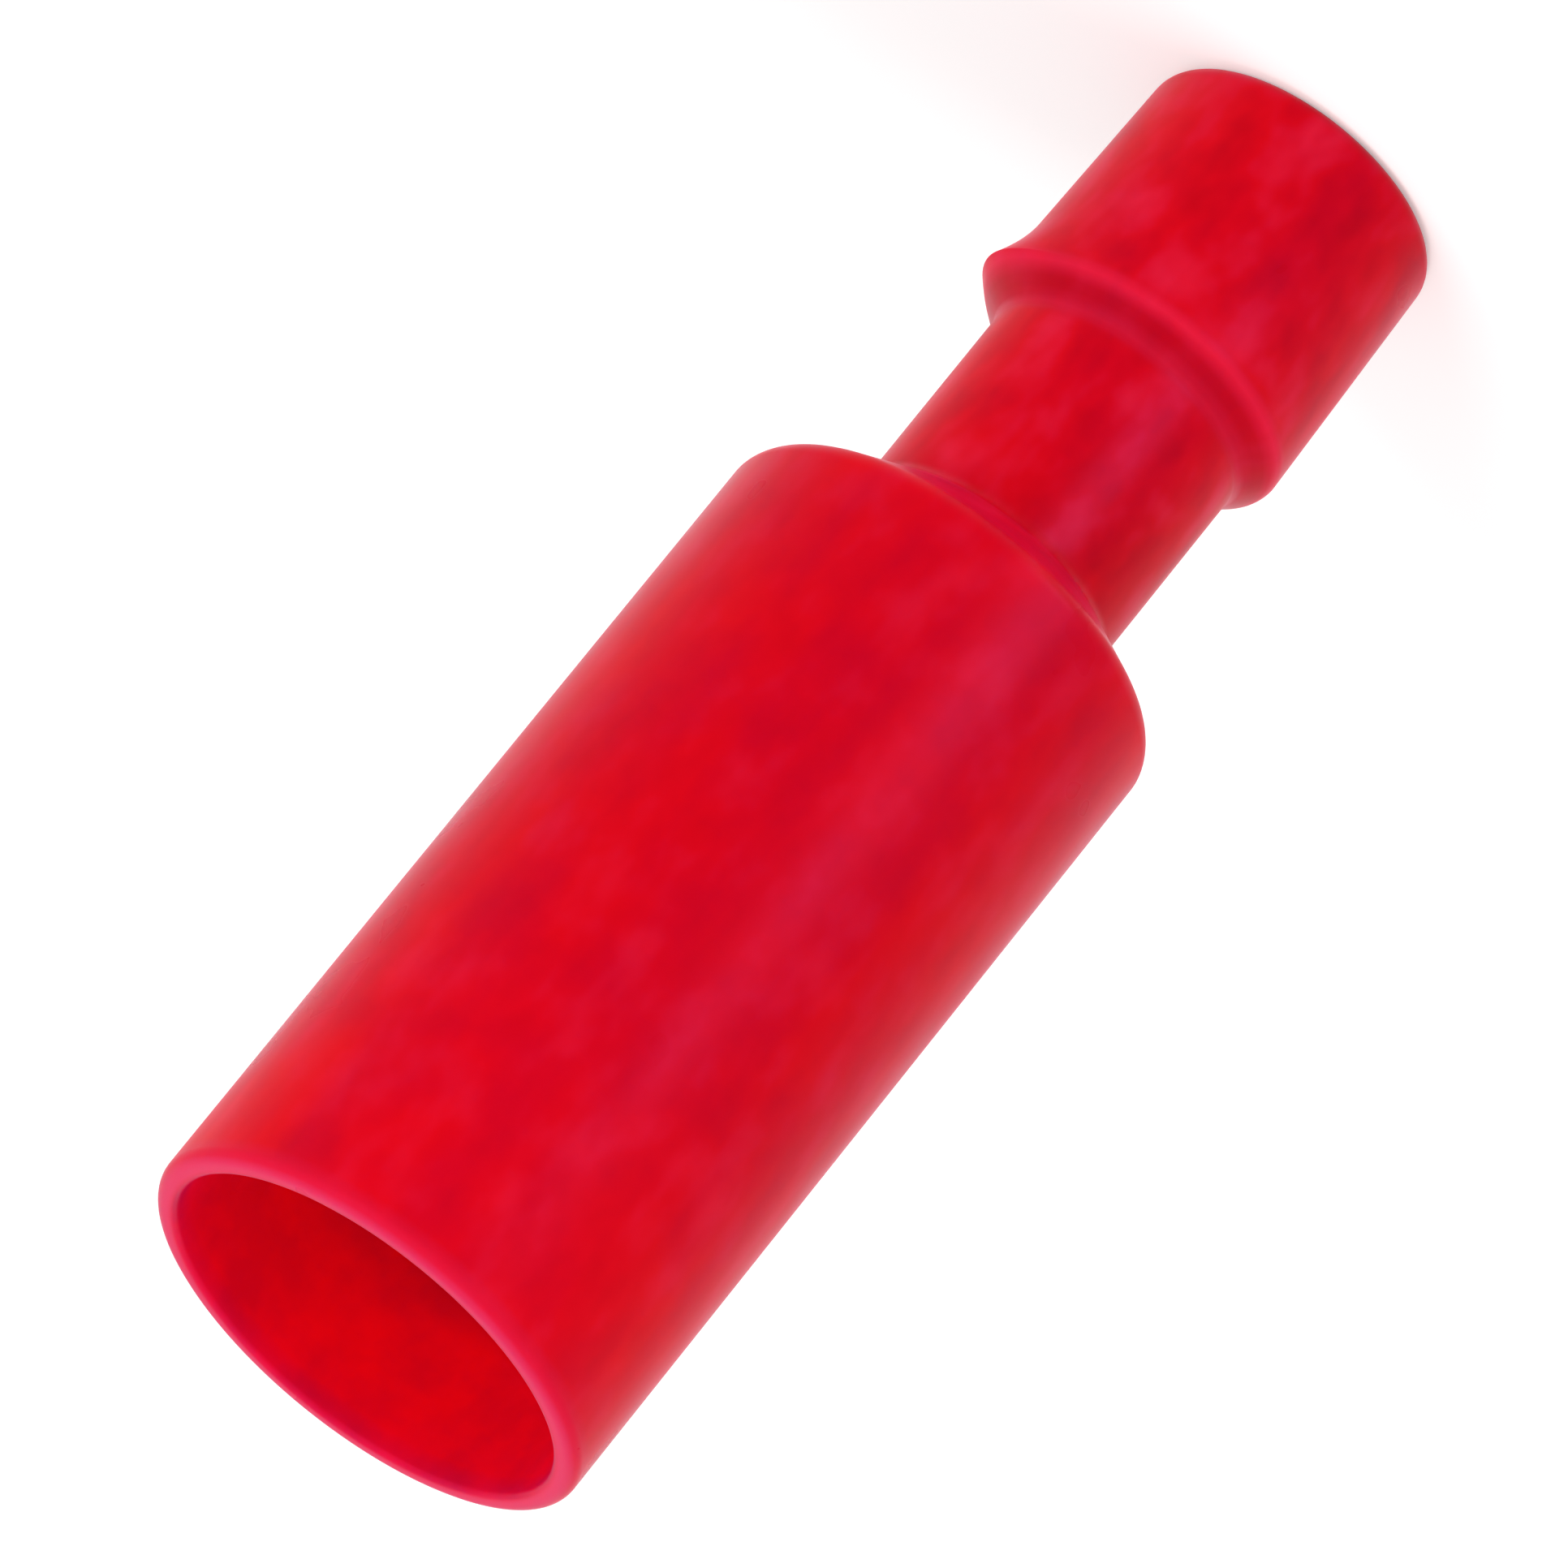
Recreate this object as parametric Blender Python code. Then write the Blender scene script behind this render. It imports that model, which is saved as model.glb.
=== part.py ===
"""Insulated round crimp terminal: a red moulded sleeve over a rolled socket contact.

Units are metres, +Z up.  The terminal stands on its wire end.  The origin is the centre of
that end's rim, and the mouth that takes the mating bullet looks up.
"""

import math

import bmesh
import bpy

MM = 0.001

# Contact: brass strip rolled into a wire barrel, a tapered transition and a spring socket
STOCK = 0.40 * MM               # thickness of the strip
BARREL_BORE = 2.20 * MM         # diameter inside the wire barrel
BARREL_LENGTH = 4.35 * MM
TRANSITION_LENGTH = 1.50 * MM   # barrel to socket, along the axis
TRANSITION_BEND = 0.60 * MM     # bend radius at each end of the transition
SOCKET_BORE = 4.00 * MM         # diameter that grips a 3.96 mm bullet
SOCKET_LENGTH = 9.76 * MM
BEAD_DEPTH = 0.20 * MM          # detent ring that snaps into the bullet's waist
BEAD_LENGTH = 1.30 * MM
BEAD_SETBACK = 2.40 * MM        # middle of the detent ring, behind the front edge
LIP_FLARE = 0.16 * MM           # lead-in at the front edge
LIP_LENGTH = 0.80 * MM
SEAM_GAP = 0.10 * MM            # butted seam along the wire barrel
SLIT_GAP = 0.70 * MM            # open slit that lets the socket spring
WINDOW_WIDTH = 1.50 * MM        # relief window where the slit meets the butted seam
WINDOW_LENGTH = 2.60 * MM
SERRATION_COUNT = 3             # grooves coined inside the barrel, to bite the strands
SERRATION_WIDTH = 0.50 * MM
SERRATION_DEPTH = 0.10 * MM
SERRATION_PITCH = 1.10 * MM
ENTRY_CHAMFER = 0.15 * MM       # inner edge where the strands go in

# Sleeve: moulded vinyl with a wire funnel, a neck over the barrel, a shoulder and a wide shroud
CLEARANCE = 0.30 * MM           # between the sleeve and the contact that seats in it
SPRING_ROOM = 1.07 * MM         # round the socket, so that it can open
MOUTH_RECESS = 4.60 * MM        # from the mouth down to the socket's front edge
SHROUD_WALL = 0.43 * MM
SHOULDER_WALL = 0.55 * MM
NECK_WALL = 0.49 * MM
FUNNEL_WALL = 0.57 * MM
NECK_LENGTH = 3.70 * MM
SHOULDER_LENGTH = 1.07 * MM     # outer step from neck to shroud, along the axis
FUNNEL_LENGTH = 4.56 * MM
FUNNEL_STEP = 0.35 * MM         # the funnel's bore is this much wider than the neck's, each side
FUNNEL_CONE = 0.46 * MM         # outer step from funnel to neck, along the axis
FUNNEL_DRAFT = 0.13 * MM        # the funnel narrows this much towards the wire end, each side
SHOULDER_ROUNDING = 0.40 * MM
NECK_ROUNDING = 0.30 * MM
RIM_ROUNDING = 0.22 * MM        # outer edge of the mouth
BORE_ROUNDING = 0.10 * MM       # inner edge of the mouth and of the wire end
END_ROUNDING = 0.35 * MM        # outer edge of the wire end

# Facets
SLEEVE_SEGMENTS = 64
CONTACT_SEGMENTS = 48
ARC_STEPS = 3
WINDOW_STEP = 0.34 * MM         # longest facet along the relief window

# Radii and heights that follow from the sizes above
barrel_centre = BARREL_BORE / 2 + STOCK / 2
socket_centre = SOCKET_BORE / 2 + STOCK / 2
barrel_outer = BARREL_BORE / 2 + STOCK
socket_outer = SOCKET_BORE / 2 + STOCK
neck_bore = barrel_outer + CLEARANCE
neck_outer = neck_bore + NECK_WALL
shroud_bore = socket_outer + SPRING_ROOM
shroud_outer = shroud_bore + SHROUD_WALL
funnel_bore = neck_bore + FUNNEL_STEP
funnel_outer = funnel_bore + FUNNEL_WALL
end_bore = funnel_bore - FUNNEL_DRAFT
end_outer = funnel_outer - FUNNEL_DRAFT

neck_base = FUNNEL_LENGTH + FUNNEL_CONE
shoulder_base = neck_base + NECK_LENGTH
shoulder_top = shoulder_base + SHOULDER_LENGTH

# The shoulder's inner face runs parallel to its outer face, one shoulder wall further in
shoulder_rise = SHOULDER_LENGTH / (shroud_outer - neck_outer)
inner_drop = SHOULDER_WALL * math.hypot(1.0, shoulder_rise)


def inner_shoulder(radius):
    """Height of the shoulder's inner face at a radius."""
    return shoulder_base + inner_drop + (radius - neck_outer) * shoulder_rise


inner_shoulder_base = inner_shoulder(neck_bore)
inner_shoulder_top = inner_shoulder(shroud_bore)

# The contact's taper seats on the edge between the neck's bore and the inner shoulder
taper_angle = math.atan2(socket_outer - barrel_outer, TRANSITION_LENGTH)
taper_base = inner_shoulder_base + CLEARANCE * math.tan(taper_angle / 2)
taper_top = taper_base + TRANSITION_LENGTH
barrel_end = taper_base - BARREL_LENGTH
socket_front = taper_top + SOCKET_LENGTH
mouth_height = socket_front + MOUTH_RECESS


def rounded_corner(before, corner, after, radius):
    """Arc that replaces one corner of an outline, as (radius, height) points."""
    to_before = (before[0] - corner[0], before[1] - corner[1])
    to_after = (after[0] - corner[0], after[1] - corner[1])
    length_before = math.hypot(*to_before)
    length_after = math.hypot(*to_after)
    u = (to_before[0] / length_before, to_before[1] / length_before)
    v = (to_after[0] / length_after, to_after[1] / length_after)
    half = math.acos(max(-1.0, min(1.0, u[0] * v[0] + u[1] * v[1]))) / 2
    reach = min(radius / math.tan(half), 0.45 * length_before, 0.45 * length_after)
    arc_radius = reach * math.tan(half)
    bisector = (u[0] + v[0], u[1] + v[1])
    scale = arc_radius / math.sin(half) / math.hypot(*bisector)
    centre = (corner[0] + bisector[0] * scale, corner[1] + bisector[1] * scale)
    start = math.atan2(corner[1] + u[1] * reach - centre[1], corner[0] + u[0] * reach - centre[0])
    end = math.atan2(corner[1] + v[1] * reach - centre[1], corner[0] + v[0] * reach - centre[0])
    sweep = (end - start + math.pi) % (2 * math.pi) - math.pi
    return [
        (
            centre[0] + arc_radius * math.cos(start + sweep * step / ARC_STEPS),
            centre[1] + arc_radius * math.sin(start + sweep * step / ARC_STEPS),
        )
        for step in range(ARC_STEPS + 1)
    ]


def rounded_outline(corners):
    """Closed outline from (radius, height, rounding) corners."""
    outline = []
    for index, (radius, height, rounding) in enumerate(corners):
        before = corners[index - 1][:2]
        after = corners[(index + 1) % len(corners)][:2]
        outline += rounded_corner(before, (radius, height), after, rounding)
    return outline


def sleeve_outline():
    """Wall of the sleeve: up the outside from the wire end, over the rim and down the bore."""
    return rounded_outline([
        (end_outer, 0.0, END_ROUNDING),
        (funnel_outer, FUNNEL_LENGTH, NECK_ROUNDING),
        (neck_outer, neck_base, NECK_ROUNDING),
        (neck_outer, shoulder_base, NECK_ROUNDING),
        (shroud_outer, shoulder_top, SHOULDER_ROUNDING),
        (shroud_outer, mouth_height, RIM_ROUNDING),
        (shroud_bore, mouth_height, BORE_ROUNDING),
        (shroud_bore, inner_shoulder_top, SHOULDER_ROUNDING),
        (neck_bore, inner_shoulder_base, NECK_ROUNDING),
        (neck_bore, neck_base, NECK_ROUNDING),
        (funnel_bore, FUNNEL_LENGTH, NECK_ROUNDING),
        (end_bore, 0.0, BORE_ROUNDING),
    ])


def spin_outline(outline, segments):
    """Turn a closed outline round the Z axis."""
    mesh = bmesh.new()
    ring = [mesh.verts.new((radius, 0.0, height)) for radius, height in outline]
    edges = [mesh.edges.new((ring[i - 1], ring[i])) for i in range(len(ring))]
    bmesh.ops.spin(
        mesh, geom=ring + edges, cent=(0, 0, 0), axis=(0, 0, 1), dvec=(0, 0, 0),
        angle=2 * math.pi, steps=segments, use_merge=True, use_duplicate=False,
    )
    bmesh.ops.recalc_face_normals(mesh, faces=mesh.faces)
    return mesh


def serration_points(centre_height):
    """One coined groove as (height, depth) points, with sloped flanks."""
    half = SERRATION_WIDTH / 2
    floor = half - SERRATION_DEPTH
    return [
        (centre_height - half, 0.0),
        (centre_height - floor, SERRATION_DEPTH),
        (centre_height + floor, SERRATION_DEPTH),
        (centre_height + half, 0.0),
    ]


def barrel_points():
    """Wire barrel as (centre radius, height, depth cut from its bore) points."""
    points = [
        (barrel_centre, barrel_end, ENTRY_CHAMFER),
        (barrel_centre, barrel_end + ENTRY_CHAMFER, 0.0),
    ]
    middle = barrel_end + BARREL_LENGTH / 2
    for index in range(SERRATION_COUNT):
        height = middle + (index - (SERRATION_COUNT - 1) / 2) * SERRATION_PITCH
        points += [(barrel_centre, z, depth) for z, depth in serration_points(height)]
    return points


def taper_points():
    """Transition from barrel to socket, bent softly at both ends."""
    below = (barrel_centre, taper_base - TRANSITION_LENGTH)
    start = (barrel_centre, taper_base)
    end = (socket_centre, taper_top)
    above = (socket_centre, taper_top + TRANSITION_LENGTH)
    arcs = rounded_corner(below, start, end, TRANSITION_BEND)
    arcs += rounded_corner(start, end, above, TRANSITION_BEND)
    return [(radius, height, 0.0) for radius, height in arcs]


def detent_points(steps=6):
    """Ring rolled into the socket: one smooth inward wave."""
    middle = socket_front - BEAD_SETBACK
    points = []
    for step in range(steps + 1):
        wave = (1 - math.cos(2 * math.pi * step / steps)) / 2
        height = middle + BEAD_LENGTH * (step / steps - 0.5)
        points.append((socket_centre - BEAD_DEPTH * wave, height, 0.0))
    return points


def lip_points(steps=3):
    """Front edge of the socket, curling outwards."""
    points = []
    for step in range(steps + 1):
        flare = LIP_FLARE * (1 - math.cos(math.pi / 2 * step / steps))
        height = socket_front - LIP_LENGTH * (1 - step / steps)
        points.append((socket_centre + flare, height, 0.0))
    return points


def add_window_points(points):
    """Split the long stretches that pass the relief window, so that its ends come out round."""
    low = taper_base + TRANSITION_LENGTH / 2 - WINDOW_LENGTH / 2
    high = low + WINDOW_LENGTH
    result = [points[0]]
    for start, end in zip(points, points[1:]):
        pieces = 1
        if end[1] > low and start[1] < high:
            pieces = max(1, math.ceil((end[1] - start[1]) / WINDOW_STEP))
        for step in range(1, pieces + 1):
            share = step / pieces
            result.append(tuple(a + (b - a) * share for a, b in zip(start, end)))
    return result


def seam_half_gap(height):
    """Half of the opening between the strip's two edges at a height, along the strip."""
    share = min(1.0, max(0.0, (height - taper_base) / TRANSITION_LENGTH))
    plain = SEAM_GAP / 2 + (SLIT_GAP - SEAM_GAP) / 2 * share
    offset = (height - taper_base - TRANSITION_LENGTH / 2) / (WINDOW_LENGTH / 2)
    window = WINDOW_WIDTH / 2 * math.sqrt(max(0.0, 1 - offset * offset))
    return max(plain, window)


def roll_strip(points, segments):
    """Wrap the strip round the Z axis, with its open seam facing +Y."""
    mesh = bmesh.new()
    outer_rows = []
    inner_rows = []
    for index, (radius, height, depth) in enumerate(points):
        before = points[max(index - 1, 0)]
        after = points[min(index + 1, len(points) - 1)]
        run = math.hypot(after[0] - before[0], after[1] - before[1])
        across = (after[1] - before[1]) / run * STOCK / 2
        along = (before[0] - after[0]) / run * STOCK / 2
        seam_angle = seam_half_gap(height) / radius
        outer_row = []
        inner_row = []
        for segment in range(segments + 1):
            turn = seam_angle + (2 * math.pi - 2 * seam_angle) * segment / segments
            x = -math.sin(turn)
            y = math.cos(turn)
            outer = radius + across
            inner = radius - across + depth
            outer_row.append(mesh.verts.new((outer * x, outer * y, height + along)))
            inner_row.append(mesh.verts.new((inner * x, inner * y, height - along)))
        outer_rows.append(outer_row)
        inner_rows.append(inner_row)
    for row in range(len(points) - 1):
        for segment in range(segments):
            for rows in (outer_rows, inner_rows):
                low = rows[row]
                high = rows[row + 1]
                mesh.faces.new((low[segment], low[segment + 1], high[segment + 1], high[segment]))
        for edge in (0, segments):
            mesh.faces.new((
                outer_rows[row][edge], outer_rows[row + 1][edge],
                inner_rows[row + 1][edge], inner_rows[row][edge],
            ))
    for row in (0, len(points) - 1):
        for segment in range(segments):
            mesh.faces.new((
                outer_rows[row][segment], outer_rows[row][segment + 1],
                inner_rows[row][segment + 1], inner_rows[row][segment],
            ))
    bmesh.ops.recalc_face_normals(mesh, faces=mesh.faces)
    return mesh


def add_piece(name, mesh, colour, roughness, metallic):
    """Named object with its own material, shaded smooth between sharp edges."""
    data = bpy.data.meshes.new(name)
    mesh.to_mesh(data)
    mesh.free()
    data.shade_smooth()
    data.set_sharp_from_angle(angle=math.radians(40))
    material = bpy.data.materials.new(name)
    material.use_nodes = True
    shader = material.node_tree.nodes["Principled BSDF"]
    shader.inputs["Base Color"].default_value = (*colour, 1.0)
    shader.inputs["Roughness"].default_value = roughness
    shader.inputs["Metallic"].default_value = metallic
    data.materials.append(material)
    piece = bpy.data.objects.new(name, data)
    bpy.context.scene.collection.objects.link(piece)
    return piece


def clear_scene():
    for item in list(bpy.data.objects):
        bpy.data.objects.remove(item, do_unlink=True)


def build_terminal():
    clear_scene()
    strip = barrel_points() + taper_points() + detent_points() + lip_points()
    contact_mesh = roll_strip(add_window_points(strip), CONTACT_SEGMENTS)
    sleeve_mesh = spin_outline(sleeve_outline(), SLEEVE_SEGMENTS)
    add_piece("insulating_sleeve", sleeve_mesh, (0.70, 0.005, 0.016), 0.25, 0.0)
    add_piece("socket_contact", contact_mesh, (0.72, 0.70, 0.66), 0.28, 1.0)


build_terminal()
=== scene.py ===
"""Looks of an insulated round crimp terminal: a red vinyl sleeve over a tinned socket contact."""

import math

import bmesh
import bpy
from mathutils import Matrix, Vector

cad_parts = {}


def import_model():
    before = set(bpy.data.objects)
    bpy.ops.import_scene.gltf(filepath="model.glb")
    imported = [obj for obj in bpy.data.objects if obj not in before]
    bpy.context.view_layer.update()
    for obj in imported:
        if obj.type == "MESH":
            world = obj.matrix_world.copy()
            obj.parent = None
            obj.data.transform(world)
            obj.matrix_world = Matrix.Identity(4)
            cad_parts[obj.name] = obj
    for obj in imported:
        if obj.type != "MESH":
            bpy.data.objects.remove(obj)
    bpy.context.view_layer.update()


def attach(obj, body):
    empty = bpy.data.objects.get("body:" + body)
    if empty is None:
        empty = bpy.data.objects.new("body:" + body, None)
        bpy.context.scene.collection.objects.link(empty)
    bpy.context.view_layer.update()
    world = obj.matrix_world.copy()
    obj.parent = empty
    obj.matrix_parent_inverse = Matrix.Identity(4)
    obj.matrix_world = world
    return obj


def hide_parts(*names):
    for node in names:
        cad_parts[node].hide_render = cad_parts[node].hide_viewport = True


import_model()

MM = 0.001

# Contact, as the part has it: the outer face of its strip, in millimetres
STRIP = 0.40
BARREL_RADIUS = 1.50
SOCKET_RADIUS = 2.40
BARREL_FOOT = 4.788
TAPER_FOOT = 9.138
TAPER_HEAD = 10.638
SOCKET_FRONT = 20.398
BEND = 0.60                  # middle of the strip, at both ends of the taper
BEAD_SETBACK = 2.40
BEAD_HALF = 0.45             # detent ring, from its point to the foot of its flank
BEAD_POINT = 0.28            # before its rounding takes a third off
LIP_FLARE = 0.16
LIP_CORNER = 0.51            # where the lip starts to lean out, behind the front edge
LIP_DROP = 0.06              # the leaning lip's outer edge, below its middle
SEAM_GAP = 0.10
SLIT_GAP = 0.70
WINDOW_WIDTH = 1.50
WINDOW_LENGTH = 2.60
SERRATION_COUNT = 3
SERRATION_WIDTH = 0.50
SERRATION_DEPTH = 0.10
SERRATION_PITCH = 1.10
ENTRY_CHAMFER = 0.15
SHEAR_ROUNDING = 0.04        # the blanked strip's edges

# Sleeve, as the part has it, in millimetres
LENGTH = 24.998
SHROUD_RADIUS = 3.90
SHROUD_BORE = 3.47
NECK_RADIUS = 2.29
NECK_BORE = 1.80
FUNNEL_RADIUS = 2.72
FUNNEL_BORE = 2.15
FUNNEL_DRAFT = 0.13
FUNNEL_LENGTH = 4.56
NECK_FOOT = 5.02
SHOULDER_FOOT = 8.72
SHOULDER_HEAD = 9.79
INNER_SHOULDER_FOOT = 9.055
INNER_SHOULDER_HEAD = 10.165
END_ROUNDING = 0.35
NECK_ROUNDING = 0.30
SHOULDER_ROUNDING = 0.40
RIM_ROUNDING = 0.22
BORE_ROUNDING = 0.10

# The funnel's pulled lip, in millimetres and radians
LIP_HEIGHT = 4.44
LIP_PULL = 0.26
LIP_ABOVE = 0.55
LIP_BELOW = 1.00
LIP_TURN = 0.75
LIP_RINGS = 12               # extra rings, so that the wall below the lip bends smoothly

# The photograph's view, found by laying the part's outline over it
LOOK_DOWN = 24.23            # degrees
AXIS_TURN = -51.041          # degrees in the picture, clockwise from right, mouth to wire end
PHOTO_SIZE = 1932            # pixels
MOUTH_PIXEL = (446.6, 1647.9)
MOUTH_SCALE = 82.126         # pixels per millimetre at the mouth
VIEW_DISTANCE = 260.0        # millimetres, to the mouth

# Light
ROOM_LIGHT = 0.64            # of the white that is seen, as light on the object
FLOOR_GLOW = 0.35            # added to the lit floor, so that it is seen as white

# Shares in the vinyl's colour
STREAK_SHARE = 0.35
SHROUD_SPECKLE = 0.18
NECK_SPECKLE = 0.40
PAINTED_FOLD_SHARE = 0.6
BORE_MOTTLE = 0.35


def linear(code):
    """Linear colour from an sRGB hex code."""
    values = [int(code[i:i + 2], 16) / 255 for i in (1, 3, 5)]
    return tuple(v / 12.92 if v <= 0.04045 else ((v + 0.055) / 1.055) ** 2.4 for v in values)


def add_node(tree, kind, links=None, **settings):
    """One shader node: settings are its properties, links are values or sockets for its inputs."""
    node = tree.nodes.new(kind)
    for key, value in settings.items():
        setattr(node, key, value)
    for key, value in (links or {}).items():
        if isinstance(value, bpy.types.NodeSocket):
            tree.links.new(value, node.inputs[key])
        else:
            node.inputs[key].default_value = value
    return node


def ramp(tree, factor, stops):
    """Colour ramp from (position, hex colour) stops."""
    node = add_node(tree, "ShaderNodeValToRGB", {"Fac": factor})
    elements = node.color_ramp.elements
    while len(elements) < len(stops):
        elements.new(0.5)
    for element, (position, code) in zip(elements, stops):
        element.position = position
        element.color = (*linear(code), 1.0)
    return node.outputs["Color"]


def new_material(name):
    material = bpy.data.materials.new(name)
    material.use_nodes = True
    return material, material.node_tree, material.node_tree.nodes["Principled BSDF"]


def rise(tree, value, start, stop):
    """0 at start and 1 at stop."""
    share = add_node(tree, "ShaderNodeMapRange", {
        "Value": value, "From Min": start, "From Max": stop,
    })
    return share.outputs["Result"]


def beyond(tree, value, start, stop):
    """0 at start and 1 at stop, for a value in metres and two places in millimetres."""
    return rise(tree, value, start * MM, stop * MM)


def both(tree, first, second):
    """Product of two shares."""
    product = add_node(tree, "ShaderNodeMath", {0: first, 1: second}, operation="MULTIPLY")
    return product.outputs[0]


def mixed(tree, share, first, second):
    """Colour between two, each a socket or a hex code."""
    first, second = (
        (*linear(colour), 1.0) if isinstance(colour, str) else colour for colour in (first, second)
    )
    mix = add_node(tree, "ShaderNodeMix", {
        "Factor": share, "A": first, "B": second,
    }, data_type="RGBA")
    return mix.outputs["Result"]


def noise(tree, place, size, detail):
    """Noise value with features of a size in millimetres."""
    node = add_node(tree, "ShaderNodeTexNoise", {
        "Vector": place, "Scale": 1 / (size * MM), "Detail": detail,
    })
    return node.outputs["Fac"]


def moulded_vinyl():
    """Soft PVC, injection moulded: saturated red, faintly translucent, with a soft gloss.

    Its colour is mottled, more so on the thin neck and funnel, with faint streaks along the way
    the melt ran. Where the wall steps in above the wire funnel, a dark band of painted shade lies
    between two pale painted highlight lines. The edge of the mouth is painted a paler pink as a
    highlight, and the bore is painted with light and shade. The gloss and a faint red sheen are
    the shader's own.
    """
    material, tree, shader = new_material("moulded vinyl")
    place = add_node(tree, "ShaderNodeTexCoord").outputs["Object"]
    height = add_node(tree, "ShaderNodeSeparateXYZ", {"Vector": place}).outputs["Z"]
    sideways = add_node(tree, "ShaderNodeMapping", {
        "Vector": place, "Scale": (1.0, 1.0, 0.0),
    }).outputs["Vector"]
    radius = add_node(
        tree, "ShaderNodeVectorMath", {0: sideways}, operation="LENGTH",
    ).outputs["Value"]

    drawn = add_node(tree, "ShaderNodeMapping", {"Vector": place, "Scale": (1.0, 1.0, 0.08)})
    blotches = noise(tree, place, 2.4, 3.0)
    blend = add_node(tree, "ShaderNodeMix", {
        "Factor": STREAK_SHARE, "A": blotches, "B": noise(tree, drawn.outputs["Vector"], 0.9, 1.0),
    }, data_type="FLOAT")
    colour = ramp(tree, blend.outputs["Result"], [
        (0.38, "#d20424"),
        (0.62, "#e20413"),
    ])
    uneven = add_node(tree, "ShaderNodeMapping", {"Vector": place, "Scale": (1.0, 1.0, 0.6)})
    speckle = ramp(tree, noise(tree, uneven.outputs["Vector"], 0.75, 2.0), [
        (0.25, "#a80214"),
        (0.50, "#da0418"),
        (0.75, "#f82c58"),
    ])
    speckled = add_node(tree, "ShaderNodeMapRange", {
        "Value": beyond(tree, height, SHOULDER_HEAD, SHOULDER_FOOT),
        "To Min": SHROUD_SPECKLE, "To Max": NECK_SPECKLE,
    })
    colour = mixed(tree, speckled.outputs["Result"], colour, speckle)

    # Painted light and shade: where the wall steps in from the funnel to the neck, a dark band of
    # painted shade lies between two pale painted highlight lines at the corners
    fold_painted_light_and_shade = ramp(tree, beyond(tree, height, FUNNEL_LENGTH - 0.26, FUNNEL_LENGTH + 0.74), [
        (0.00, "#d6041b"),
        (0.25, "#e6264e"),
        (0.44, "#b4061e"),
        (0.54, "#b4061e"),
        (0.74, "#dc1e42"),
        (0.95, "#d6041b"),
    ])
    at_painted_fold_shading = both(
        tree,
        beyond(tree, height, FUNNEL_LENGTH - 0.26, FUNNEL_LENGTH - 0.14),
        beyond(tree, height, FUNNEL_LENGTH + 0.74, FUNNEL_LENGTH + 0.60),
    )
    colour = mixed(tree, both(tree, at_painted_fold_shading, PAINTED_FOLD_SHARE), colour, fold_painted_light_and_shade)

    # Painted light and shade in the bore: dark magenta painted shade just inside the mouth, brighter
    # red painted light a little further in, darker painted shade deeper down; the mottle mixed over it
    # is random tone
    in_bore = both(
        tree,
        beyond(tree, height, INNER_SHOULDER_FOOT, INNER_SHOULDER_HEAD),
        beyond(tree, radius, SHROUD_BORE + 0.15, SHROUD_BORE + 0.05),
    )
    painted_bore_shading = ramp(tree, beyond(tree, height, LENGTH, LENGTH - 3.2), [
        (0.00, "#bc1650"),
        (0.05, "#cc0a40"),
        (0.13, "#ea0424"),
        (0.35, "#f4041a"),
        (0.70, "#f0041e"),
        (1.00, "#d80422"),
    ])
    bore = mixed(tree, BORE_MOTTLE, painted_bore_shading, ramp(tree, noise(tree, place, 1.1, 3.0), [
        (0.35, "#c00426"),
        (0.65, "#ff0410"),
    ]))
    colour = mixed(tree, in_bore, colour, bore)

    # Painted highlight: the outside just below the edge of the mouth and its top face are painted a
    # paler pink, where the rounded edge catches the light
    outside = beyond(tree, radius, SHROUD_BORE + 0.05, SHROUD_BORE + 0.15)
    near_rim_painted_highlight = both(tree, beyond(tree, height, LENGTH - 0.4, LENGTH - 0.05), outside)
    colour = mixed(tree, near_rim_painted_highlight, colour, "#d4183e")
    on_rim_painted_highlight = both(tree, beyond(tree, height, LENGTH - 0.08, LENGTH), outside)
    across_wall = beyond(tree, radius, SHROUD_BORE + 0.12, SHROUD_RADIUS - 0.08)
    rim_painted_highlight = mixed(tree, across_wall, "#dc2a58", "#d4305c")
    colour = mixed(tree, on_rim_painted_highlight, colour, rim_painted_highlight)
    tree.links.new(colour, shader.inputs["Base Color"])

    peel = add_node(tree, "ShaderNodeBump", {
        "Height": noise(tree, place, 0.45, 2.0), "Strength": 0.06, "Distance": 0.01 * MM,
    })
    tree.links.new(peel.outputs["Normal"], shader.inputs["Normal"])
    gloss = add_node(tree, "ShaderNodeMapRange", {
        "Value": blotches, "From Min": 0.3, "From Max": 0.7, "To Min": 0.26, "To Max": 0.36,
    })
    tree.links.new(gloss.outputs["Result"], shader.inputs["Roughness"])
    shader.inputs["Specular IOR Level"].default_value = 0.05
    shader.inputs["Specular Tint"].default_value = (1.0, 0.2, 1.0, 1.0)
    shader.inputs["Sheen Weight"].default_value = 0.2
    shader.inputs["Sheen Roughness"].default_value = 0.35
    shader.inputs["Sheen Tint"].default_value = (0.8, 0.02, 0.3, 1.0)
    shader.inputs["Subsurface Weight"].default_value = 1.0
    shader.inputs["Subsurface Radius"].default_value = (1.0, 0.06, 0.10)
    shader.inputs["Subsurface Scale"].default_value = 0.8 * MM
    return material


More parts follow.
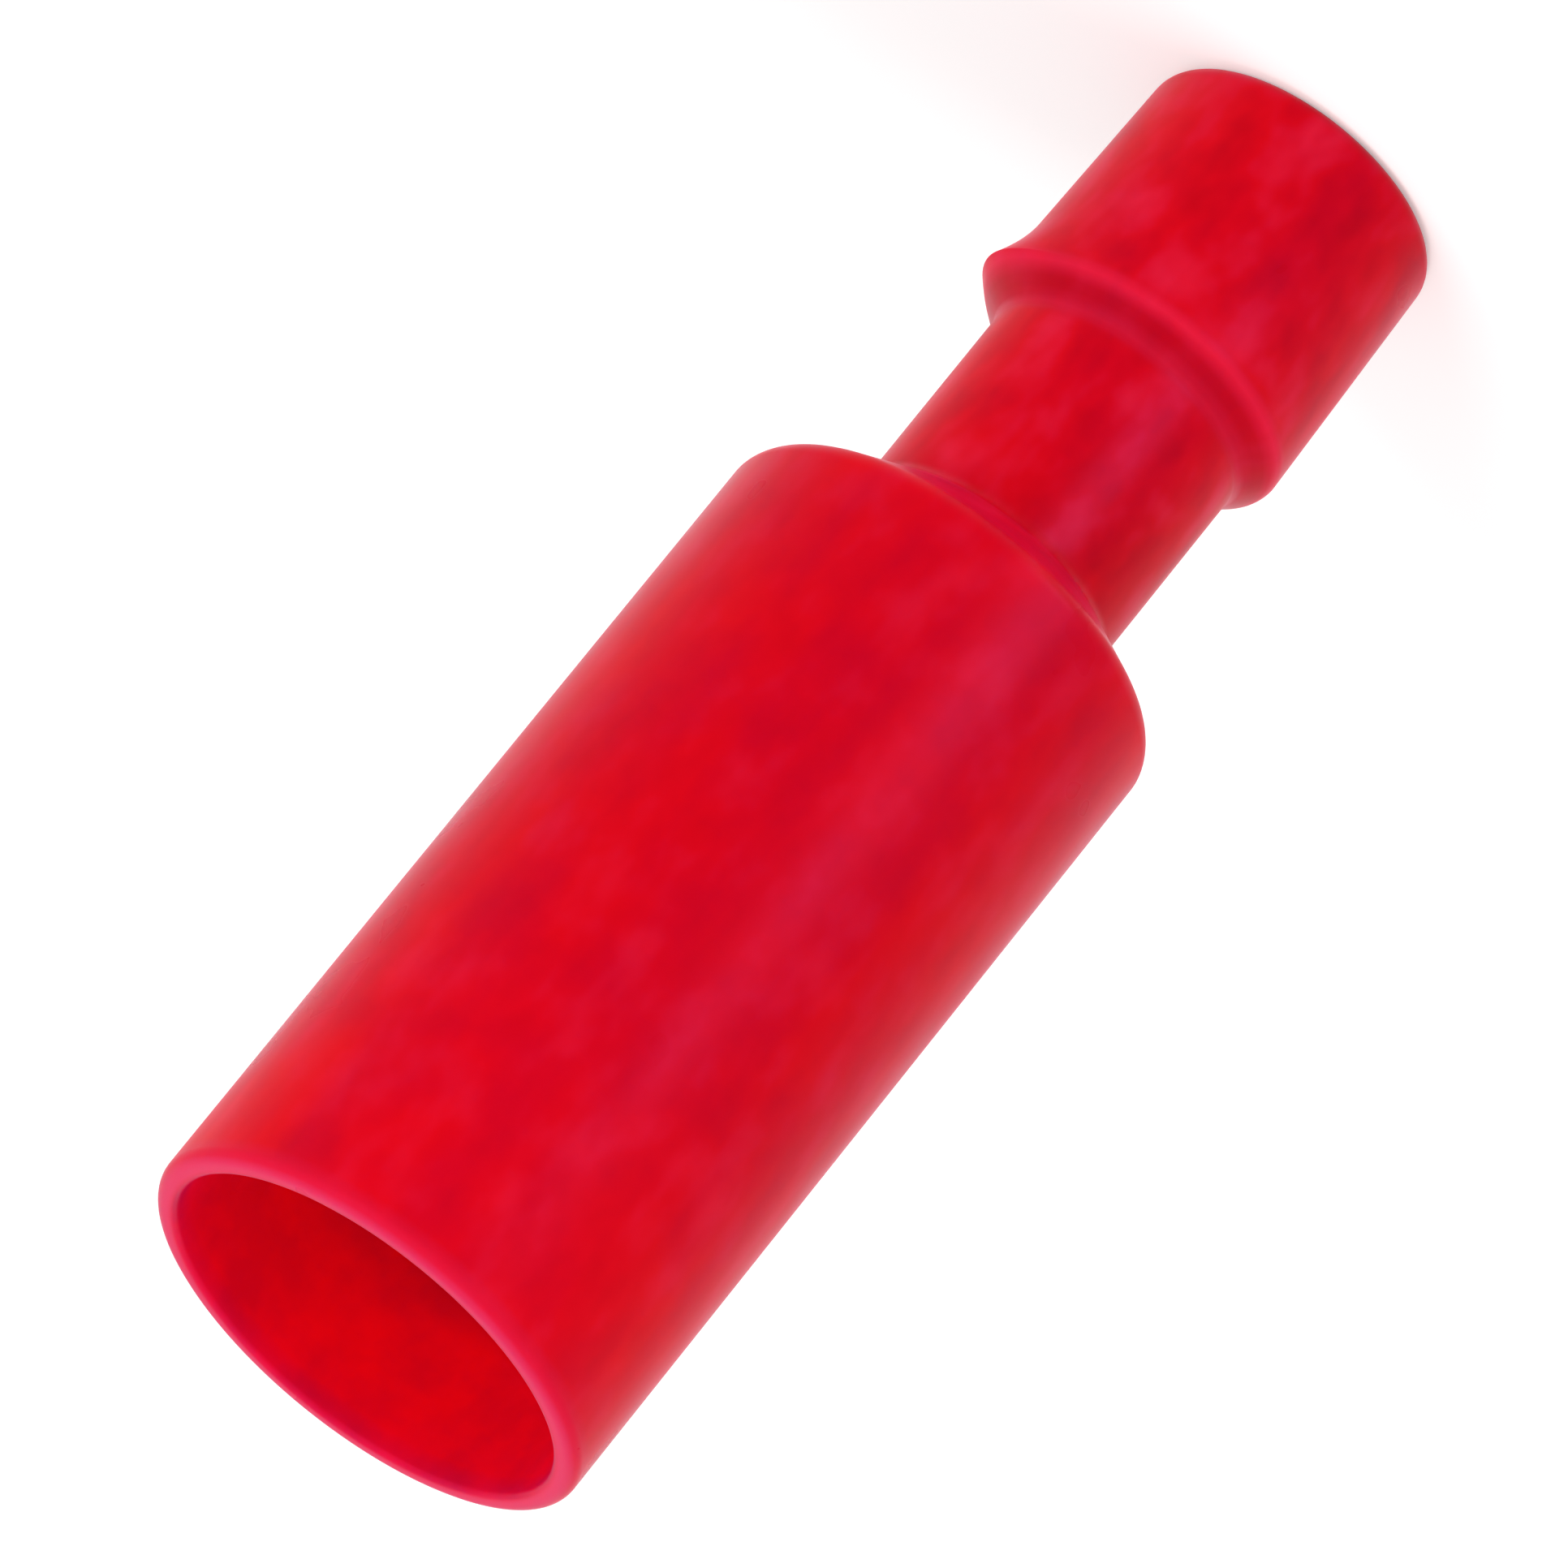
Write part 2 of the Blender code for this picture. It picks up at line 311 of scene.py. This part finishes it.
def tin_plate():
    """Bright tin on rolled brass strip: pale grey metal, with faint rolling lines round the turn."""
    material, tree, shader = new_material("tin plate")
    place = add_node(tree, "ShaderNodeTexCoord").outputs["Object"]
    drawn = add_node(tree, "ShaderNodeMapping", {"Vector": place, "Scale": (0.05, 0.05, 1.0)})
    lines = add_node(tree, "ShaderNodeTexNoise", {
        "Vector": drawn.outputs["Vector"], "Scale": 1 / (0.12 * MM), "Detail": 3.0,
    })
    cloud = add_node(tree, "ShaderNodeTexNoise", {
        "Vector": place, "Scale": 1 / (1.5 * MM), "Detail": 2.0,
    })
    colour = ramp(tree, cloud.outputs["Fac"], [(0.35, "#bfbbb0"), (0.65, "#dcd9d0")])
    tree.links.new(colour, shader.inputs["Base Color"])
    bump = add_node(tree, "ShaderNodeBump", {
        "Height": lines.outputs["Fac"], "Strength": 0.3, "Distance": 0.01 * MM,
    })
    tree.links.new(bump.outputs["Normal"], shader.inputs["Normal"])
    gloss = add_node(tree, "ShaderNodeMapRange", {
        "Value": lines.outputs["Fac"], "From Min": 0.3, "From Max": 0.7,
        "To Min": 0.22, "To Max": 0.36,
    })
    tree.links.new(gloss.outputs["Result"], shader.inputs["Roughness"])
    shader.inputs["Metallic"].default_value = 1.0
    return material


def rounded_line(mesh, corners, segments):
    """Profile line in the XZ plane through (radius, height, rounding) corners, each an arc."""
    ring = [mesh.verts.new((radius, 0.0, height)) for radius, height, _ in corners]
    mesh.faces.new(ring)
    places = [vertex.co.copy() for vertex in ring]
    for index, vertex in enumerate(ring):
        rounding = corners[index][2]
        if rounding == 0:
            continue
        before = (places[index - 1] - vertex.co).normalized()
        after = (places[(index + 1) % len(places)] - vertex.co).normalized()
        bmesh.ops.bevel(
            mesh, geom=[vertex], offset=rounding / math.tan(before.angle(after) / 2),
            offset_type="OFFSET", segments=segments, profile=0.5, affect="VERTICES",
            clamp_overlap=False, material=-1,
        )
    bmesh.ops.delete(mesh, geom=list(mesh.faces), context="FACES_ONLY")


def finish_piece(name, mesh, material, node, sharp_degrees):
    """Object at the origin from a mesh in millimetres, riding where its node does."""
    bmesh.ops.scale(mesh, vec=(MM, MM, MM), verts=mesh.verts)
    bmesh.ops.recalc_face_normals(mesh, faces=mesh.faces)
    data = bpy.data.meshes.new(name)
    mesh.to_mesh(data)
    mesh.free()
    data.shade_smooth()
    data.set_sharp_from_angle(angle=math.radians(sharp_degrees))
    data.materials.append(material)
    piece = bpy.data.objects.new(name, data)
    bpy.context.scene.collection.objects.link(piece)
    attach(piece, "root")
    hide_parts(node)
    return piece


def pull_lip(mesh):
    """The funnel's corner stands out on the +X side, as the photograph shows it."""
    for ring in range(LIP_RINGS + 1):
        height = LIP_HEIGHT - LIP_BELOW * ring / LIP_RINGS
        bmesh.ops.bisect_plane(
            mesh, geom=list(mesh.verts) + list(mesh.edges) + list(mesh.faces), dist=0.0001,
            plane_co=(0, 0, height), plane_no=(0, 0, 1),
        )
    for vertex in mesh.verts:
        radius = math.hypot(vertex.co.x, vertex.co.y)
        turn = math.atan2(vertex.co.y, vertex.co.x)
        above = vertex.co.z - LIP_HEIGHT
        reach = LIP_ABOVE if above > 0 else LIP_BELOW
        if radius < NECK_RADIUS - 0.01 or abs(turn) > LIP_TURN or abs(above) > reach:
            continue
        fade = math.cos(math.pi / 2 * turn / LIP_TURN) ** 2 * (1 - abs(above) / reach) ** 2
        grow = 1 + LIP_PULL * fade / radius
        vertex.co.x *= grow
        vertex.co.y *= grow


def sleeve():
    """Moulded tube: one closed wall outline, its corners rounded, turned about the axis."""
    mesh = bmesh.new()
    rounded_line(mesh, [
        (FUNNEL_RADIUS - FUNNEL_DRAFT, 0.0, END_ROUNDING),
        (FUNNEL_RADIUS, FUNNEL_LENGTH, NECK_ROUNDING),
        (NECK_RADIUS, NECK_FOOT, NECK_ROUNDING),
        (NECK_RADIUS, SHOULDER_FOOT, NECK_ROUNDING),
        (SHROUD_RADIUS, SHOULDER_HEAD, SHOULDER_ROUNDING),
        (SHROUD_RADIUS, LENGTH, RIM_ROUNDING),
        (SHROUD_BORE, LENGTH, BORE_ROUNDING),
        (SHROUD_BORE, INNER_SHOULDER_HEAD, SHOULDER_ROUNDING),
        (NECK_BORE, INNER_SHOULDER_FOOT, NECK_ROUNDING),
        (NECK_BORE, NECK_FOOT, NECK_ROUNDING),
        (FUNNEL_BORE, FUNNEL_LENGTH, NECK_ROUNDING),
        (FUNNEL_BORE - FUNNEL_DRAFT, 0.0, BORE_ROUNDING),
    ], segments=8)
    bmesh.ops.spin(
        mesh, geom=list(mesh.verts) + list(mesh.edges), cent=(0, 0, 0), axis=(0, 0, 1),
        dvec=(0, 0, 0), angle=2 * math.pi, steps=192, use_merge=True, use_duplicate=False,
    )
    pull_lip(mesh)
    return finish_piece(
        "moulded_sleeve", mesh, moulded_vinyl(), "insulating_sleeve", 60,
    )


def round_edges(mesh, rounding, picks):
    """Round the sharp edges whose both ends are picked."""
    edges = [
        edge for edge in mesh.edges
        if edge.calc_face_angle() > math.radians(60) and all(picks(v) for v in edge.verts)
    ]
    bmesh.ops.bevel(
        mesh, geom=edges, offset=rounding, offset_type="OFFSET", segments=3, profile=0.5,
        affect="EDGES", clamp_overlap=True, material=-1,
    )


def seam_half_gap(height):
    """Half of the opening between the strip's two edges at a height, along the strip."""
    share = min(1.0, max(0.0, (height - TAPER_FOOT) / (TAPER_HEAD - TAPER_FOOT)))
    plain = SEAM_GAP / 2 + (SLIT_GAP - SEAM_GAP) / 2 * share
    offset = (height - (TAPER_FOOT + TAPER_HEAD) / 2) / (WINDOW_LENGTH / 2)
    window = WINDOW_WIDTH / 2 * math.sqrt(max(0.0, 1 - offset * offset))
    return max(plain, window)


def serration_heights():
    """Heights where each coined groove starts and ends, and where its floor does."""
    middle = (BARREL_FOOT + TAPER_FOOT) / 2
    rims = []
    floors = []
    for index in range(SERRATION_COUNT):
        centre = middle + (index - (SERRATION_COUNT - 1) / 2) * SERRATION_PITCH
        half = SERRATION_WIDTH / 2
        rims += [centre - half, centre + half]
        floors += [centre - half + SERRATION_DEPTH, centre + half - SERRATION_DEPTH]
    return rims, floors


def contact():
    """Brass strip rolled into a wire barrel and a spring socket, with its open seam to +Y."""
    lean = math.atan2(SOCKET_RADIUS - BARREL_RADIUS, TAPER_HEAD - TAPER_FOOT)
    drop = STRIP / 2 * math.tan(lean / 2)
    bead = SOCKET_FRONT - BEAD_SETBACK
    mesh = bmesh.new()
    rounded_line(mesh, [
        (BARREL_RADIUS, BARREL_FOOT, 0),
        (BARREL_RADIUS, TAPER_FOOT - drop, BEND - STRIP / 2),
        (SOCKET_RADIUS, TAPER_HEAD - drop, BEND + STRIP / 2),
        (SOCKET_RADIUS, bead - BEAD_HALF, 0.7),
        (SOCKET_RADIUS - BEAD_POINT, bead, 0.5),
        (SOCKET_RADIUS, bead + BEAD_HALF, 0.7),
        (SOCKET_RADIUS, SOCKET_FRONT - LIP_CORNER, 1.9),
        (SOCKET_RADIUS + LIP_FLARE, SOCKET_FRONT - LIP_DROP, 0),
        (0.0, SOCKET_FRONT - LIP_DROP, 0),
        (0.0, BARREL_FOOT, 0),
    ], segments=5)
    axis_ends = [vertex for vertex in mesh.verts if vertex.co.x < 0.1]
    bmesh.ops.delete(mesh, geom=axis_ends, context="VERTS")

    start = 0.02                 # half of the seam while the strip is turned, in radians
    quarter = Matrix.Rotation(math.pi / 2 + start, 3, "Z")
    bmesh.ops.rotate(mesh, cent=(0, 0, 0), matrix=quarter, verts=mesh.verts)
    bmesh.ops.spin(
        mesh, geom=list(mesh.verts) + list(mesh.edges), cent=(0, 0, 0), axis=(0, 0, 1),
        dvec=(0, 0, 0), angle=2 * math.pi - 2 * start, steps=144, use_merge=False,
        use_duplicate=False,
    )

    # Rings for the grooves and for the round ends of the relief window
    rims, floors = serration_heights()
    middle = (TAPER_FOOT + TAPER_HEAD) / 2
    window = [middle + WINDOW_LENGTH / 2 * math.sin(math.radians(9 * step)) for step in range(-10, 11)]
    for height in rims + floors + window:
        bmesh.ops.bisect_plane(
            mesh, geom=list(mesh.verts) + list(mesh.edges) + list(mesh.faces), dist=0.0001,
            plane_co=(0, 0, height), plane_no=(0, 0, 1),
        )
    bmesh.ops.remove_doubles(mesh, verts=mesh.verts, dist=0.006)

    # Open the seam: the turn is shared out again at each height
    for vertex in mesh.verts:
        radius = math.hypot(vertex.co.x, vertex.co.y)
        turn = math.atan2(-vertex.co.x, vertex.co.y) % (2 * math.pi)
        share = (turn - start) / (2 * math.pi - 2 * start)
        gap = seam_half_gap(vertex.co.z) / (radius - STRIP / 2)
        turn = gap + (2 * math.pi - 2 * gap) * share
        vertex.co.x = -radius * math.sin(turn)
        vertex.co.y = radius * math.cos(turn)

    # Wall, grooves and the rounded edges of the strip
    bmesh.ops.recalc_face_normals(mesh, faces=mesh.faces)
    bmesh.ops.solidify(mesh, geom=list(mesh.faces), thickness=-STRIP)
    bmesh.ops.recalc_face_normals(mesh, faces=mesh.faces)
    bore = BARREL_RADIUS - STRIP
    coined = [
        vertex for vertex in mesh.verts
        if math.hypot(vertex.co.x, vertex.co.y) < bore + STRIP / 2
        and any(abs(vertex.co.z - height) < 0.01 for height in floors)
    ]
    widen = (bore + SERRATION_DEPTH) / bore
    bmesh.ops.scale(mesh, vec=(widen, widen, 1.0), verts=coined)
    round_edges(mesh, ENTRY_CHAMFER, lambda vertex: (
        vertex.co.z < BARREL_FOOT + 0.01 and math.hypot(vertex.co.x, vertex.co.y) < bore + 0.01
    ))
    round_edges(mesh, SHEAR_ROUNDING, lambda vertex: True)
    return finish_piece(
        "rolled_contact", mesh, tin_plate(), "socket_contact", 50,
    )


def seen_directly(tree):
    """1 for rays that show the background itself, 0 for rays that light the object."""
    path = add_node(tree, "ShaderNodeLightPath")
    seen = path.outputs["Is Camera Ray"]
    for ray in ("Is Glossy Ray", "Is Transmission Ray"):
        either = add_node(tree, "ShaderNodeMath", {0: seen, 1: path.outputs[ray]}, operation="MAXIMUM")
        seen = either.outputs[0]
    return seen


def floor():
    """Plain white sweep: white to the eye and in reflections, and it keeps the shadow."""
    material = bpy.data.materials.new("white board")
    material.use_nodes = True
    tree = material.node_tree
    tree.nodes.clear()
    strength = add_node(tree, "ShaderNodeMath", {
        0: seen_directly(tree), 1: FLOOR_GLOW,
    }, operation="MULTIPLY")
    glow = add_node(tree, "ShaderNodeEmission", {"Strength": strength.outputs[0]})
    matt = add_node(tree, "ShaderNodeBsdfDiffuse", {"Color": (0.8, 0.8, 0.8, 1.0)})
    surface = add_node(tree, "ShaderNodeAddShader", {0: glow.outputs[0], 1: matt.outputs[0]})
    add_node(tree, "ShaderNodeOutputMaterial", {"Surface": surface.outputs[0]})
    mesh = bmesh.new()
    bmesh.ops.create_circle(mesh, cap_ends=True, radius=3.0, segments=96)
    data = bpy.data.meshes.new("studio_floor")
    mesh.to_mesh(data)
    mesh.free()
    data.materials.append(material)
    board = bpy.data.objects.new("studio_floor", data)
    bpy.context.scene.collection.objects.link(board)


def world():
    """White room: 1 where it is seen, and a plain level of light on the object."""
    room = bpy.data.worlds.new("white room")
    bpy.context.scene.world = room
    room.use_nodes = True
    tree = room.node_tree
    tree.nodes.clear()
    strength = add_node(tree, "ShaderNodeMapRange", {
        "Value": seen_directly(tree), "To Min": ROOM_LIGHT, "To Max": 1.0,
    })
    light = add_node(tree, "ShaderNodeBackground", {
        "Color": (1.0, 1.0, 1.0, 1.0), "Strength": strength.outputs["Result"],
    })
    add_node(tree, "ShaderNodeOutputWorld", {"Surface": light.outputs[0]})


def add_lamp(name, width, length, power):
    """Rectangular area lamp that the camera doesn't see."""
    light = bpy.data.lights.new(name, "AREA")
    light.shape = "RECTANGLE"
    light.size = width
    light.size_y = length
    light.energy = power
    lamp = bpy.data.objects.new(name, light)
    lamp.visible_camera = False
    bpy.context.scene.collection.objects.link(lamp)
    return lamp


def direction(azimuth, elevation):
    """Unit vector from the terminal: azimuth 0 is the camera's side, 90 is +X."""
    turn = math.radians(azimuth)
    climb = math.radians(elevation)
    return Vector((
        math.sin(turn) * math.cos(climb), -math.cos(turn) * math.cos(climb), math.sin(climb),
    ))


def soft_box(name, azimuth, elevation, distance, size, power):
    """Square lamp aimed at the terminal's middle."""
    lamp = add_lamp(name, size, size, power)
    towards = direction(azimuth, elevation)
    lamp.location = Vector((0.0, 0.0, LENGTH / 2 * MM)) + towards * distance
    lamp.rotation_euler = (-towards).to_track_quat("-Z", "Y").to_euler()


def floor_strip(name, azimuth, near, far, width, power):
    """Strip on the floor that points away from the terminal: it only gives a long highlight."""
    lamp = add_lamp(name, width * MM, (far - near) * MM, power)
    lamp.data.shape = "ELLIPSE"      # its ends fade, and so do the highlight's
    lamp.visible_diffuse = False
    lamp.location = direction(azimuth, 0) * (near + far) / 2 * MM + Vector((0.0, 0.0, 0.5 * MM))
    lamp.rotation_euler = (math.pi, 0.0, math.radians(azimuth))


def camera():
    """The photograph's view: down at the mouth, rolled so that the mouth points to the lower left."""
    look_down = math.radians(LOOK_DOWN)
    axis_turn = math.radians(AXIS_TURN)
    forward = Vector((0, math.cos(look_down), -math.sin(look_down)))
    upward = Vector((0, math.sin(look_down), math.cos(look_down)))
    across = Vector((1, 0, 0))
    right = across * math.sin(axis_turn) - upward * math.cos(axis_turn)
    down = -across * math.cos(axis_turn) - upward * math.sin(axis_turn)
    mouth = Vector((0, 0, LENGTH))
    from_mouth = [(pixel - PHOTO_SIZE / 2) / MOUTH_SCALE for pixel in MOUTH_PIXEL]
    eye = mouth - right * from_mouth[0] - down * from_mouth[1] - forward * VIEW_DISTANCE
    data = bpy.data.cameras.new("camera")
    data.sensor_width = 36.0
    data.lens = data.sensor_width * MOUTH_SCALE * VIEW_DISTANCE / PHOTO_SIZE
    data.clip_start = 0.01
    data.clip_end = 10.0
    rig = bpy.data.objects.new("camera", data)
    turned = Matrix((right, -down, -forward)).transposed()
    rig.matrix_world = Matrix.Translation(eye * MM) @ turned.to_4x4()
    bpy.context.scene.collection.objects.link(rig)
    bpy.context.scene.camera = rig


sleeve()
contact()
floor()
world()
camera()
soft_box("key", 45, 36, 0.30, 0.18, 0.29)
soft_box("mouth_light", -60, 66, 0.30, 0.12, 0.26)
floor_strip("streak", -29, 8.0, 85.0, 12.0, 0.018)
bpy.context.scene.view_settings.view_transform = "Standard"
